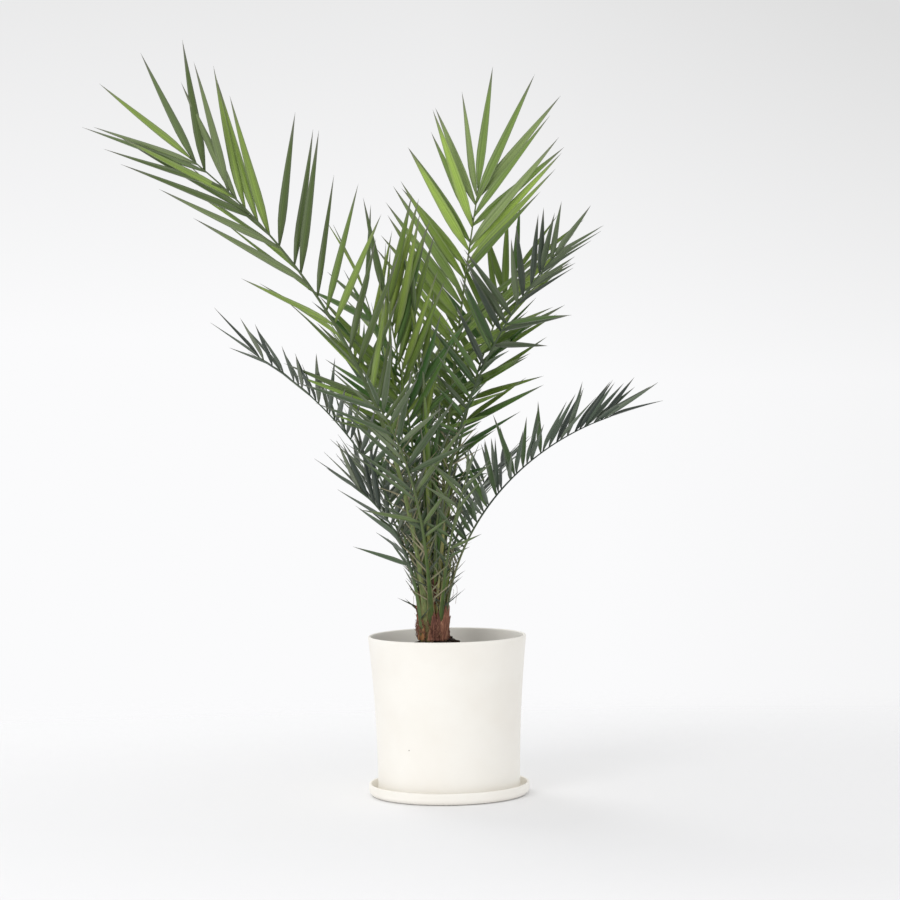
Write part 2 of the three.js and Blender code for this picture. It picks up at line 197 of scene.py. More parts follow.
def leafMaterial(name, colour):
    material, shader = newMaterial(name, leafFinish)
    plain = screenColour(*colour)[:3]
    shift = leafFinish["veinShift"]
    deep = tuple(c * (1 - shift) for c in plain) + (1,)
    pale = tuple(min(1, c * (1 + shift)) for c in plain) + (1,)
    dull = tuple(mix(c, d, leafFinish["dullShare"]) for c, d in zip(plain, leafFinish["dull"])) + (1,)
    streak = speckle(stretched(shader, "UV", leafFinish["veins"]), *leafFinish["veinGrain"])
    breadth, length = uvSplit(shader)
    edge = grey(leafFinish["edgeShare"])
    edges = ramp(breadth, leafFinish["edgePlaces"], (edge, black, black, edge))
    green = blend(ramp(streak, leafFinish["veinPlaces"], (deep, pale)), dull, edges)
    shade = ramp(length, leafFinish["rootPlaces"], (grey(leafFinish["rootShade"]), white))
    rooted = blend(green, shade, mode="MULTIPLY")
    dry = ramp(length, leafFinish["dryPlaces"], (black, white))
    dress(shader, blend(rooted, leafFinish["dryTip"], dry), streak, leafFinish["veinDepth"])
    return material


def leafMaterials(name, colours):        # numbered from 1
    return [leafMaterial(name + str(i + 1), colour) for i, colour in enumerate(colours)]


# Rods carry their place along the frond in the UV map, so a petiole can fade into its rachis, and their
# place across it, so the petiole has pale edges. Petioles are mottled, with brown scurf near the foot.
stalkFinish = dict(
    roughness=0.5, specular=0.35, partPlaces=(0, 0.1, 0.32, 0.5), edgePlaces=(0.72, 0.9),
    petioleEnd=(0.25, 0.4), footEnd=(0.08, 0.2), streaks=(300, 300, 40), streakGrain=(1, 2),
    streakDepth=0.0006,
    mottle=dict(
        colour=screenColour(58, 72, 38), share=0.75, stretch=(190, 190, 34), grain=(1, 4, 0.65),
        places=(0.44, 0.62),
    ),
    scurf=dict(
        colour=screenColour(112, 84, 56), share=0.8, stretch=(420, 420, 90), grain=(1, 3, 0.7),
        places=(0.5, 0.64),
    ),
)


def stalkMaterial(name, colours):
    material, shader = newMaterial(name, stalkFinish)
    foot, petiole, ribWithPaintedShade, edge = [screenColour(*c) for c in colours]
    breadth, length = uvSplit(shader)
    # the rachis takes the rib colour, mostly darker than the petiole: painted shade from the leaflets over it
    colour = ramp(length, stalkFinish["partPlaces"], (foot, petiole, petiole, ribWithPaintedShade))
    low = ramp(length, stalkFinish["petioleEnd"], (white, black))
    lowest = ramp(length, stalkFinish["footEnd"], (white, black))
    margin = ramp(breadth, stalkFinish["edgePlaces"], (black, white))
    colour = blend(colour, edge, blend(margin, low, mode="MULTIPLY"))
    for kind, part in (("mottle", low), ("scurf", lowest)):
        patch = stalkFinish[kind]
        spots = speckle(stretched(shader, "Object", patch["stretch"]), *patch["grain"])
        share = ramp(spots, patch["places"], (black, grey(patch["share"])))
        colour = blend(colour, patch["colour"], blend(share, part, mode="MULTIPLY"))
    streak = speckle(stretched(shader, "Object", stalkFinish["streaks"]), *stalkFinish["streakGrain"])
    dress(shader, colour, streak, stalkFinish["streakDepth"])
    return material


# Meshes

def keepMesh(bm, name):
    mesh = bpy.data.meshes.new(name)
    bm.to_mesh(mesh)
    bm.free()
    return mesh


def newObject(name, data):
    made = bpy.data.objects.new(name, data)
    bpy.context.collection.objects.link(made)
    return made


def finishPiece(name, bm, materials, nodes, smooth=True):
    bmesh.ops.scale(bm, vec=(1 / metre,) * 3, verts=bm.verts)
    for face in bm.faces:
        face.smooth = smooth
    mesh = keepMesh(bm, name)
    for material in materials:
        mesh.materials.append(material)
    piece = newObject(name, mesh)
    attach(piece, body)
    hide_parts(*nodes)
    print(name, "has", len(mesh.polygons), "faces")


def turnedShape(profile, steps):
    bm = bmesh.new()
    verts = [bm.verts.new((radius, 0, height)) for radius, height in profile]
    edges = [bm.edges.new(pair) for pair in zip(verts, verts[1:])]
    bmesh.ops.spin(bm, geom=verts + edges, cent=(0, 0, 0), axis=(0, 0, 1), angle=2 * pi, steps=steps,
                   use_merge=True)
    bmesh.ops.remove_doubles(bm, verts=bm.verts, dist=0.01)
    bmesh.ops.recalc_face_normals(bm, faces=bm.faces)
    return bm


def roundRing(bm, radius, height, size, segments):
    near = 0.05

    def onRing(vert):
        return abs(hypot(vert.co.x, vert.co.y) - radius) < near and abs(vert.co.z - height) < near
    ring = [edge for edge in bm.edges if all(onRing(vert) for vert in edge.verts)]
    bmesh.ops.bevel(bm, geom=ring, offset=size, offset_type="OFFSET", segments=segments, profile=0.5,
                    affect="EDGES", material=-1)


def stamp(bm, mould, place, shade=0):        # adds a copy of the mould, each point moved by place(x, y, z)
    firstVert, firstFace = len(bm.verts), len(bm.faces)
    bm.from_mesh(mould)
    bm.verts.ensure_lookup_table()
    bm.faces.ensure_lookup_table()
    for vert in bm.verts[firstVert:]:
        vert.co = place(*vert.co)
    for face in bm.faces[firstFace:]:
        face.material_index = shade


# Camera, at the photograph's own place and angle

view = dict(lens=102.6, place=(0.0111, -4.830, 0.772), pitch=88.542, roll=-0.9)


def makeCamera():
    data = bpy.data.cameras.new("view")
    data.lens = view["lens"]
    camera = newObject("view", data)
    turn = Matrix.Rotation(radians(view["pitch"]), 4, "X") @ Matrix.Rotation(radians(view["roll"]), 4, "Z")
    camera.matrix_world = Matrix.Translation(view["place"]) @ turn
    bpy.context.scene.camera = camera


makeCamera()
print("camera placed")

# Planter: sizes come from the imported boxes

potLow, potHigh = [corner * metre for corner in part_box("pot")]
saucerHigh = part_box("saucer")[1] * metre
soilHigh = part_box("soil")[1] * metre

pot = dict(
    foot=134, swell=2.1, wall=6, floor=8, hole=12, lip=2.7, footRound=3.4, floorRound=5.4, roundSteps=4,
    rows=26, steps=144,
)
saucer = dict(
    foot=146, ringIn=6, ringHigh=1.4, ringRound=1.1, ringSteps=3, wall=5, floor=6, lip=2.2, round=3,
    roundSteps=4, steps=144,
)


def potRadius(z):
    share = clamp((z - potLow.z) / (potHigh.z - potLow.z))
    return pot["foot"] + (potHigh.x - pot["foot"]) * share ** pot["swell"]


def makePot():
    heights = spaced(potLow.z, potHigh.z, pot["rows"])
    floorTop = potLow.z + pot["floor"]
    last = (potRadius(floorTop) - pot["wall"], floorTop)
    profile = [(pot["hole"], potLow.z)] + [(potRadius(z), z) for z in heights]
    profile += [(potRadius(z) - pot["wall"], z) for z in reversed(heights) if z > floorTop]
    profile += [last, (pot["hole"], floorTop), (pot["hole"], potLow.z)]
    bm = turnedShape(profile, pot["steps"])
    for radius, height, size in (
            (potHigh.x, potHigh.z, pot["lip"]), (potHigh.x - pot["wall"], potHigh.z, pot["lip"]),
            (pot["foot"], potLow.z, pot["footRound"]), (*last, pot["floorRound"])):
        roundRing(bm, radius, height, size, pot["roundSteps"])
    finishPiece("planterPot", bm, [glazeMaterial()], ["pot"])


def makeSaucer():
    radius, top, foot, floor = saucerHigh.x, saucerHigh.z, saucer["foot"], saucer["floor"]
    inner = radius - saucer["wall"]
    ring = foot - saucer["ringIn"]
    low = saucer["ringHigh"]
    rise = radius - foot + low
    profile = [(0, 0), (ring, 0), (ring, low), (foot, low), (radius, rise), (radius, top), (inner, top)]
    bm = turnedShape(profile + [(inner, floor), (0, floor)], saucer["steps"])
    for away, height, size in ((radius, top, saucer["lip"]), (inner, top, saucer["lip"]),
                               (inner, floor, saucer["round"]), (radius, rise, saucer["round"])):
        roundRing(bm, away, height, size, saucer["roundSteps"])
    roundRing(bm, foot, low, saucer["ringRound"], saucer["ringSteps"])
    finishPiece("planterSaucer", bm, [bpy.data.materials["creamGlaze"]], ["saucer"])


# Tiny dark specks in the glaze: height in millimetres, turn in degrees from +X, and width
specks = [(98.7, 237.3, 2.2), (205, 31, 1.2), (148, 118, 1.4), (61, 167, 1.2)]
speckLook = dict(colour=screenColour(120, 105, 90), roughness=0.5, specular=0.5, thickness=0.3)


def makeSpecks():
    bm = bmesh.new()
    for height, turn, width in specks:
        made = bmesh.ops.create_icosphere(bm, subdivisions=2, radius=width / 2)["verts"]
        bmesh.ops.scale(bm, vec=(speckLook["thickness"], 1, 1), verts=made)
        bmesh.ops.translate(bm, vec=(potRadius(height), 0, height), verts=made)
        bmesh.ops.rotate(bm, cent=(0, 0, 0), matrix=Matrix.Rotation(radians(turn), 3, "Z"), verts=made)
    material, shader = newMaterial("glazeSpeck", speckLook)
    feed(speckLook["colour"], shader.inputs["Base Color"])
    finishPiece("glazeSpecks", bm, [material], ["pot"])


makePot()
makeSaucer()
makeSpecks()
print("planter made")

# Soil: a low mound round the stem that falls away to the wall, with crumbs and bits of bark

stem = dict(
    x=-26, y=0, foot=29, waist=24, waistHeight=46, height=92, top=11, taper=1.3, peak=3, lean=4, low=0.3,
    lowest=0.5, steps=120, rows=44, relief=3.4, ridges=(0.22, 0.05, 0), tufts=(0.6, 0.16, 7), tuftShare=0.5,
    groove=11, grooveWidth=15,
)
soil = dict(        # lumps and grain are given by height, size and the level of the noise
    edgeDrop=30, moundStart=31, moundEnd=76, moundShift=10, rings=46, steps=150, sideRows=6, wallGap=0.6,
    floorGap=0.3, sunk=1.5, lumps=(3.4, 17, 3), grain=(1.5, 5.2, 9),
    # soil colours from the hollows, where the dark is painted shade, to the ridges
    colours=[(26, 19, 15), (62, 46, 36)],
)
crumbs = dict(        # the first of them are clods, coarser than the rest, and lie round the stem
    seed=11, count=800, reach=0.97, size=(1.0, 3.4), sizePower=3, pale=0.22, clods=46, clodReach=(34, 70),
    clodSize=(2.6, 5.4), clodPale=0.5, length=(0.9, 1.8), height=(0.5, 0.9), tilt=0.6, lift=0.3, relief=0.3,
    reliefScale=1.7, reliefShift=(5, 2, 1), colours=[(36, 26, 20), (104, 82, 66)],
)


def soilWall(z):        # the soil's radius at the wall of the pot
    return potRadius(z) - pot["wall"] - soil["wallGap"]


def soilTop(x, y):        # the mound's height; x and y are from the pot's axis
    away = hypot(x - stem["x"] - soil["moundShift"], y - stem["y"])
    slope = smoothstep(away, soil["moundStart"], soil["moundEnd"])
    lump, grain = [high * noise.noise(Vector((x, y, level)) / size)
                   for high, size, level in (soil["lumps"], soil["grain"])]
    return soilHigh.z - soil["sunk"] - slope * soil["edgeDrop"] + lump + grain


def makeSoil():
    rings = soil["rings"]
    bottom = potLow.z + pot["floor"] + soil["floorGap"]
    edge = soilHigh.z - soil["edgeDrop"]
    profile = [(0, bottom)] + [(soilWall(z), z) for z in spaced(bottom, edge, soil["sideRows"])]
    profile += [(soilWall(edge) * (1 - i / rings), edge) for i in range(1, rings + 1)]
    bm = turnedShape(profile, soil["steps"])
    near = 0.5
    for vert in bm.verts:
        if vert.co.z > edge - near:
            vert.co.z = min(soilTop(vert.co.x, vert.co.y), soilHigh.z)
    finishPiece("soilMound", bm, [grainyMaterial("darkSoil", earthFinish, soil["colours"])], ["soil"])


def crumbMould():
    bm = bmesh.new()
    bmesh.ops.create_icosphere(bm, subdivisions=1, radius=1)
    for vert in bm.verts:
        place = vert.co * crumbs["reliefScale"] + Vector(crumbs["reliefShift"])
        vert.co *= 1 + crumbs["relief"] * noise.noise(place)
    return keepMesh(bm, "crumbMould")


def makeCrumbs():
    draw = random.Random(crumbs["seed"])
    mould = crumbMould()
    bm = bmesh.new()
    wall = soilWall(soilHigh.z - soil["edgeDrop"])
    for i in range(crumbs["count"]):
        turn = draw.uniform(0, 2 * pi)
        if i < crumbs["clods"]:
            away = draw.uniform(*crumbs["clodReach"])
            x, y = stem["x"] + soil["moundShift"] + away * cos(turn), stem["y"] + away * sin(turn)
            size = draw.uniform(*crumbs["clodSize"])
            pale = crumbs["clodPale"]
        else:
            away = wall * crumbs["reach"] * sqrt(draw.random())
            x, y = away * cos(turn), away * sin(turn)
            size = mix(*crumbs["size"], draw.random() ** crumbs["sizePower"])
            pale = crumbs["pale"]
        axes = Vector((size * draw.uniform(*crumbs["length"]), size, size * draw.uniform(*crumbs["height"])))
        spin = Matrix.Rotation(draw.uniform(0, 2 * pi), 3, "Z")
        spin = spin @ Matrix.Rotation(draw.uniform(-crumbs["tilt"], crumbs["tilt"]), 3, "X")
        centre = Vector((x, y, soilTop(x, y) + axes.z * crumbs["lift"]))
        stamp(bm, mould, lambda a, b, c: centre + spin @ Vector((a * axes.x, b * axes.y, c * axes.z)),
              int(draw.random() < pale))
    materials = [bpy.data.materials["darkSoil"], grainyMaterial("paleCrumb", earthFinish, crumbs["colours"])]
    finishPiece("soilCrumbs", bm, materials, ["soil"], smooth=False)


makeSoil()
makeCrumbs()
print("soil made")

# Fronds: the same rule as the solids, with finer leaflets, channelled petioles and spines

rachis = dict(
    steps=13, tip=2.6, taper=0.6, flatness=0.92, channel=0.45, twistedBy=0.4, sunk=40, flare=0.95,
    flareEnd=150, flareTop=-20, wrap=0.3, sides=10, rows=60,
)
feather = dict(start=0.28, grown=0.4, late=0.6, closing=2.5, last=0.995, end=0.88, clump=0.17)
stray = dict(        # how far a leaflet strays either way, and where its run of draws starts
    place=(0.3, 0), open=(7, 100), rise=(14, 200), length=(0.1, 300), bow=(0.035, 400), sweep=(0.03, 500),
    twist=(16, 600), width=(0.1, 700),
)
shading = dict(draws=800, byPlace=0.45)        # a leaflet's green is drawn, but in part goes by its place
leafShape = dict(
    least=4, slimness=0.056, widest=0.27, base=0.2, tip=1.35, point=0.015, bunching=0.85, fold=24,
    rootFold=1.5, foldLoss=0.7, thickness=0.9, edgeThickness=0.35, tipLoss=0.6,
    columns=(-1, -0.45, 0, 0.45, 1), rows=13,
)

# Turn, lean and spread, the leaflets' angle, are given low down and at the tip, and foot by its distance from
# the stem's axis and its height. Draws lists each leaflet's draw, counted on from the frond's seed, and -1
# where a leaflet is missing.
frondColumns = (
    "turn", "lean", "bend", "length", "foot", "width", "bare", "pairs", "leaf", "spread", "rise", "roll",
    "fade", "seed", "loose", "broad", "draws",
)
frondRows = {
    "frond_high_left": (
        (240, 196), (7.5, 51), 1, 1034, (20, 8), 13, 0.36, 22, 244, (48, 22), 22, 48, 0.1, 75, 2, 1,
        (846, 409, 234, 788, 508, 130, 810, 274, 481, 571, 294, 219, -1, 683, 56, -1, 181, 125, -1, 458, 174,
         911, 21, -1, 501, 646, 500, 895, 15, 919, 862, 726, 887, 462, 776, 384, 427, 381, 860, 342, 956, 904,
         106, 492, 402),
    ),
    "frond_high_right": (
        (40, 50), (2, 15), 0.8, 830, (10, 40), 11, 0.42, 20, 241, (58, 18), -4, 16, -0.06, 29, 1.4, 1.2,
        (655, 888, 898, 0, 532, 650, 750, 48, 922, 37, 247, 135, 834, 44, 605, 904, 330, 877, 574, 865, -1,
         405, -1, 712, 573, 484, 19, 234, 568, 184, 519, 333, 190, 91, 492, 393, 498, 396, 750, 645, 694),
    ),
    "frond_right": (
        (-26, -24), (-3, 45), 1.1, 752, (14, 30), 10, 0.45, 19, 138, (69, 28), 28, -40, 0.14, 1577, 1.8, 1.35,
        (895, 187, 22, 314, 346, 624, 375, 815, 760, 631, 37, 151, 977, 970, 432, 606, 62, 491, 480, 292, 155,
         276, 824, 70, 528, 1, 234, 535, 349, 945, 930, 23, 610, 215, 33, 486, 104, 362, 513),
    ),
    "frond_low_right": (
        (-17, 3), (2, 72), 0.9, 538, (24, 22), 9, 0.26, 20, 111, (66, 15), 62, 18, -0.04, 1886, 1.6, 1.25,
        (228, 970, 637, 816, 650, 697, 285, 25, 46, 738, 140, 319, 269, 597, 459, 834, 805, 619, 592, 209, 19,
         604, 501, 752, 550, 718, 776, -1, 621, 711, 384, 432, 159, 630, 370, 754, 426, 649, 149, 106, 608),
    ),
    "frond_left": (
        (210, 191), (9, 58), 1.1, 616, (15, 34), 9, 0.24, 21, 114, (70, 37), 24, 12, -0.1, 1410, 1.6, 1.15,
        (481, 300, 412, 31, 532, 35, 233, 50, 127, 84, 504, 482, 534, 85, 433, 487, 258, 100, 479, 74, 24,
         590, 454, 344, 570, 373, 172, 385, 198, 672, 413, 419, 584, 198, 535, 99, 217, 134, 164, 530, 420,
         545, 303),
    ),
    "frond_low_left": (
        (218, 203), (5, 54), 1.4, 316, (27, 14), 8, 0.21, 14, 156, (70, 10), 54, 46, 0.38, 1446, 1.6, 1.2,
        (443, 513, 197, 540, 94, 193, 366, 271, 635, 505, 553, 0, 225, 392, 323, 682, 72, 464, 383, 158, 58,
         554, 3, 320, 347, 533, 380, 565, 29),
    ),
    "frond_front_left": (
        (264, 236), (12, 46), 1, 480, (26, 30), 9, 0.34, 10, 165, (56, 30), 22, 10, 0.1, 246, 2.3, 1.1,
        (348, 32, 721, 54, 997, 240, 748, 936, 973, 58, 947, 0, 398, 75, 597, 729, 323, 93, 190, 939, 937),
    ),
    "frond_back_left": (
        (140, 152), (4, 20), 1, 652, (17, 38), 10, 0.41, 13, 197, (59, 23), 0, 54, 0.1, 96, 1.6, 1.15,
        (32, 407, 115, 135, 182, 492, 495, 440, 105, 223, 561, 604, 586, 463, 86, 490, 190, 228, 248, 301,
         396, 390, 586, -1, 528, 535, 459),
    ),
    "frond_back_right": (
        (44, 44), (4, 36), 1.2, 700, (20, 40), 10, 0.34, 17, 180, (65, 18), 14, 20, -0.04, 1184, 1.4, 1.15,
        (674, 276, 182, 335, 320, 296, 0, 54, 312, 62, 106, 154, 655, 46, 538, 527, 614, 467, 285, 0, 115,
         681, 398, 467, 527, 429, 218, 581, 628, 666, 485, 381, 551, 61, 545),
    ),
    "frond_inner": (
        (170, 206), (2, 12), 1, 600, (8, 50), 9, 0.48, 14, 230, (45, 18), -15, 85, 0.12, 190, 1.6, 1.15,
        (336, 0, 0, 630, 0, 626, 536, 465, 173, 24, 247, 227, 256, 965, 453, 727, 891, 877, -1, 757, -1, 760,
         -1, 703, -1, 0, -1, 0, 620),
    ),
    "frond_back": (
        (88, 92), (8, 58), 1, 640, (26, 24), 9, 0.32, 15, 150, (62, 20), 30, 0, 0.2, 22, 1, 1.15,
    ),
    "frond_rear_left": (
        (118, 124), (10, 46), 1, 580, (24, 34), 9, 0.34, 15, 140, (62, 20), 30, 0, 0.2, 13, 1, 1.15,
    ),
    "frond_low_back": (
        (68, 60), (14, 74), 1, 440, (28, 14), 8, 0.3, 13, 115, (65, 20), 35, 0, 0.2, 14, 1, 1.15,
    ),
    "frond_low_rear_left": (
        (130, 118), (12, 66), 1.2, 400, (28, 14), 8, 0.3, 13, 110, (65, 20), 35, 0, 0.2, 15, 1, 1.15,
    ),
    "frond_front_right": (
        (300, 286), (6, 50), 1.1, 340, (28, 20), 8, 0.36, 9, 92, (58, 22), 30, 0, 0.2, 16, 1.8, 1.1,
        (562, 968, 495, 12, 197, 359, 679, 102, 501, 448, 832, 504, 0, 0, 0, 554, 965, 239, 630),
    ),
    "spear": (
        (200, 215), (0, 6), 1, 560, (0, 60), 9, 0.3, 7, 190, (9, 5), 30, 40, 0.3, 20, 1, 1.15,
        (801, 0, 610, 0, 589, -1, 892, 941, 767, 0, 772, -1, 298, -1, 0),
    ),
}
fronds = {name: dict(zip(frondColumns, row)) for name, row in frondRows.items()}

# Each tone of green has its slot, its fronds, its leaflets' colours from the foot of a frond to its tip, and
# its stalks' colours at the foot, on the petiole, on the rachis and along the petiole's edges. The rachis
# colour is mostly darker than the petiole's, which is painted shade from the leaflets over it.
tones = {
    # High fronds: a young, lighter green, brightened further as painted backlight for light through the
    # leaflets
    "Bright": (
        "frond_bright", ["frond_high_left"],
        [(116, 144, 54), (102, 126, 54), (78, 96, 46), (124, 148, 64), (110, 126, 80), (94, 112, 66)],
        [(128, 120, 76), (124, 140, 82), (80, 94, 60), (146, 142, 98)],
    ),
    "Light": (
        "frond_bright", ["frond_high_right"],
        # the brightest of these greens is painted backlight
        [(106, 138, 50), (90, 116, 44), (128, 154, 62), (116, 142, 64), (156, 184, 80), (134, 154, 92)],
        [(128, 120, 76), (128, 142, 70), (92, 106, 58), (146, 142, 98)],
    ),
    "Middle": (
        "frond_middle",
        ["frond_back_left", "frond_inner", "frond_back_right", "frond_back", "frond_rear_left", "spear"],
        # (120, 142, 54) is painted backlight, for leaflets that light shines through
        [(48, 86, 28), (62, 100, 32), (70, 102, 36), (98, 122, 42), (120, 142, 54), (80, 100, 52)],
        [(124, 116, 68), (124, 140, 64), (90, 106, 54), (146, 140, 92)],
    ),
    "Front": (
        "frond_middle", ["frond_front_left", "frond_front_right"],
        [(78, 98, 56), (94, 112, 64), (68, 86, 54), (98, 112, 78), (82, 98, 66)],
        # a dark petiole with pale tan edges: partly painted shade in the middle and painted light on the
        # edges
        [(112, 112, 58), (76, 100, 44), (88, 102, 60), (164, 154, 110)],
    ),
    "Grey": (
        "frond_dark", ["frond_left", "frond_low_left"],
        [(84, 102, 64), (68, 88, 58), (100, 108, 90), (82, 92, 80), (58, 68, 60), (112, 120, 100)],
        [(118, 108, 66), (94, 118, 64), (70, 84, 64), (146, 136, 98)],
    ),
    "Dark": (
        "frond_dark", ["frond_right", "frond_low_rear_left"],
        [(62, 94, 38), (50, 76, 34), (78, 104, 50), (66, 80, 52), (48, 60, 46), (90, 104, 72)],
        [(116, 108, 66), (108, 122, 58), (64, 78, 52), (138, 130, 88)],
    ),
    "Low": (
        "frond_dark", ["frond_low_right", "frond_low_back"],
        [(84, 112, 56), (66, 88, 50), (76, 90, 74), (94, 106, 88), (50, 60, 54), (66, 78, 66)],
        [(116, 110, 68), (96, 112, 66), (58, 68, 58), (130, 124, 92)],
    ),
}
spineColours = [(92, 102, 78), (138, 136, 104), (66, 76, 62), (156, 148, 118)]


def turnAxes(turn):        # outward from the pot's axis at this turn, and level to its left
    return Vector((cos(turn), sin(turn), 0)), Vector((-sin(turn), cos(turn), 0))


def overStem(high):        # a place on the stem's axis, this high over the soil
    return Vector((stem["x"], stem["y"], soilHigh.z + high))


def strayed(group, kind, seed, k):
    reach, start = group[kind]
    return reach * wobble(seed, k + start)


def frondFrame(frond, s):        # the way a frond runs, with its sideways and upward directions
    s = max(s, 0)
    lean = radians(mix(*frond["lean"], s ** frond["bend"]))
    turn = radians(mix(*frond["turn"], s))
    roll = radians(frond["roll"]) * min(1, s / rachis["twistedBy"])
    outward, level = turnAxes(turn)
    along = outward * sin(lean) + upright * cos(lean)
    inward = along.cross(level)
    return along, level * cos(roll) + inward * sin(roll), inward * cos(roll) - level * sin(roll)


def ribPoints(frond):
    out, high = frond["foot"]
    spot = overStem(high) + turnAxes(radians(frond["turn"][0]))[0] * out
    points = [spot.copy()]
    for i in range(rachis["steps"]):
        spot = spot + frondFrame(frond, (i + 0.5) / rachis["steps"])[0] * (frond["length"] / rachis["steps"])
        points.append(spot.copy())
    return points


def ribPoint(points, s):        # on a smooth curve through the points
    place = clamp(s) * (len(points) - 1)
    i = min(int(place), len(points) - 2)
    t = place - i
    a, b = points[i], points[i + 1]
    before = points[i - 1] if i else a * 2 - b
    after = points[i + 2] if i + 2 < len(points) else b * 2 - a
    return 0.5 * (2 * a + (b - before) * t + (2 * before - 5 * a + 4 * b - after) * t ** 2
                  + (3 * a - before - 3 * b + after) * t ** 3)


def leafShare(u, fade):
    grown = mix(feather["start"], 1, sin(min(u / feather["grown"], 1) * pi / 2))
    return grown * (1 - fade * (max(0, u - feather["late"]) / (1 - feather["late"])) ** 2)


def leafletPlan(frond, k):        # whether it is the last, its place, opening, rise and length
    draws = frond.get("draws", ())
    draw = draws[k] if k < len(draws) else 0
    if draw < 0:
        return None
    seed, pairs, bare = frond["seed"] + draw, frond["pairs"], frond["bare"]
    pair = k // 2
    last = pair == pairs
    clump = feather["clump"] if pair % 2 == 0 else -feather["clump"]
    u = 1 if last else (pair + 0.5 + strayed(stray, "place", seed, k) + clump) / pairs
    opening = 0 if last else mix(*frond["spread"], u ** feather["closing"])
    full = frond["leaf"] * (feather["end"] if last else 1)
    opening += frond["loose"] * strayed(stray, "open", seed, k)
    rise = frond["rise"] + frond["loose"] * strayed(stray, "rise", seed, k)
    length = full * leafShare(u, frond["fade"]) * (1 + strayed(stray, "length", seed, k))
    return last, bare + (1 - bare) * u * feather["last"], radians(opening), radians(rise), length


def pointedOutline(shape, y):        # half-width share of a blade: pinched at its root, drawn out to a point
    root = mix(shape["base"], 1, sin(min(y / shape["widest"], 1) * pi / 2))
    late = clamp((y - shape["widest"]) / (1 - shape["widest"]))
    return max(root * (1 - late ** shape["tip"]), shape["point"])


def layUvs(bm, spot):
    uvs = bm.loops.layers.uv.new("UVMap")
    for face in bm.faces:
        for loop in face.loops:
            loop[uvs].uv = spot(loop.vert.co)


# In a mould of a blade x runs across from -1 to 1, y along from 0 to 1, and z from 0 above to -1 below
def bladeMould(name, columns, rows):
    bm = bmesh.new()
    bmesh.ops.create_grid(bm, x_segments=len(columns) - 1, y_segments=rows, size=0.5, calc_uvs=False)
    for vert in bm.verts:
        across = round((vert.co.x + 0.5) * (len(columns) - 1))
        share = vert.co.y + 0.5
        vert.co = (columns[across], 0.5 - 0.5 * cos(pi * share ** leafShape["bunching"]), 0)
    layUvs(bm, lambda co: (co.x / 2 + 0.5, co.y))
    bmesh.ops.solidify(bm, geom=bm.faces, thickness=1)
    lowest = min(vert.co.z for vert in bm.verts)
    bmesh.ops.translate(bm, vec=(0, 0, -1 - lowest), verts=bm.verts)
    bmesh.ops.recalc_face_normals(bm, faces=bm.faces)
    return keepMesh(bm, name)


def bladePlace(root, way, across, face, length, width, strays, shape=leafShape, outline=pointedOutline):
    bow, sweep, twist = strays

    def place(x, y, z):
        half = width / 2 * outline(shape, y)
        turn = radians(twist) * y
        edge = across * cos(turn) + face * sin(turn)
        top = face * cos(turn) - across * sin(turn)
        opened = radians(shape["fold"] * (leafShape["rootFold"] - leafShape["foldLoss"] * y))
        spot = root + way * (length * y) + face * (bow * length * y * y) + across * (sweep * length * y * y)
        thick = leafShape["thickness"] * mix(1, leafShape["edgeThickness"], abs(x))
        thick *= 1 - leafShape["tipLoss"] * y
        return spot + edge * (x * half * cos(opened)) + top * (abs(x) * half * sin(opened) + z * thick)
    return place


def sideSign(k):        # leaflets and spines are numbered from side to side
    return -1 if k % 2 == 0 else 1


def leafWay(along, side, up, sign, opening, rise):
    return along * cos(opening) + (side * (sign * cos(rise)) + up * sin(rise)) * sin(opening)


def squareTo(way, broad):
    return (broad - way * broad.dot(way)).normalized()


def addLeaflets(bm, mould, frond, shades):
    points = ribPoints(frond)
    seed = frond["seed"]
    for k in range(2 * frond["pairs"] + 1):
        plan = leafletPlan(frond, k)
        if not plan:
            continue
        last, s, opening, rise, length = plan
        along, side, up = frondFrame(frond, s)
        way = leafWay(along, side, up, sideSign(k), opening, rise)
        across = squareTo(way, side if last else along)
        face = way.cross(across)
        if face.dot(up) < 0:
            face = -face
        strays = [strayed(stray, kind, seed, k) for kind in ("bow", "sweep", "twist")]
        width = (leafShape["least"] + leafShape["slimness"] * length) * frond["broad"]
        width *= 1 + strayed(stray, "width", seed, k)
        outer = (s - frond["bare"]) / (1 - frond["bare"])
        shade = int(shades * mix(chance(seed, k + shading["draws"]), outer, shading["byPlace"]))
        stamp(bm, mould, bladePlace(ribPoint(points, s), way, across, face, length, width, strays), shade)


def rodMould(sides, rows):        # x and y round the unit circle, z along from 0 to 1
    bm = bmesh.new()
    bmesh.ops.create_cone(bm, cap_ends=True, segments=sides, radius1=1, radius2=1, depth=1)
    lengthwise = [edge for edge in bm.edges if abs(edge.verts[0].co.z - edge.verts[1].co.z) > 0.5]
    bmesh.ops.subdivide_edges(bm, edges=lengthwise, cuts=rows - 1, use_grid_fill=True)
    bmesh.ops.translate(bm, vec=(0, 0, 0.5), verts=bm.verts)
    layUvs(bm, lambda co: (abs(co.x), co.z))
    return keepMesh(bm, "rodMould")


def stalkPlace(frond):
    points = ribPoints(frond)
    sunk = rachis["sunk"] / frond["length"]

    def place(x, y, z):
        s = mix(-sunk, 1, z)
        along, side, up = frondFrame(frond, s)
        half = mix(frond["width"], rachis["tip"], max(s, 0) ** rachis["taper"]) / 2
        spot = ribPoint(points, s) + along * (min(s, 0) * frond["length"])
        channel = rachis["channel"] if y > 0 else 1
        foot = 1 - smoothstep(s * frond["length"], rachis["flareTop"], rachis["flareEnd"])
        broad = half * (1 + rachis["flare"] * foot)
        wrap = up * (x * x * broad * rachis["wrap"] * foot)
        return spot + side * (x * broad) + up * (y * half * rachis["flatness"] * channel) + wrap
    return place


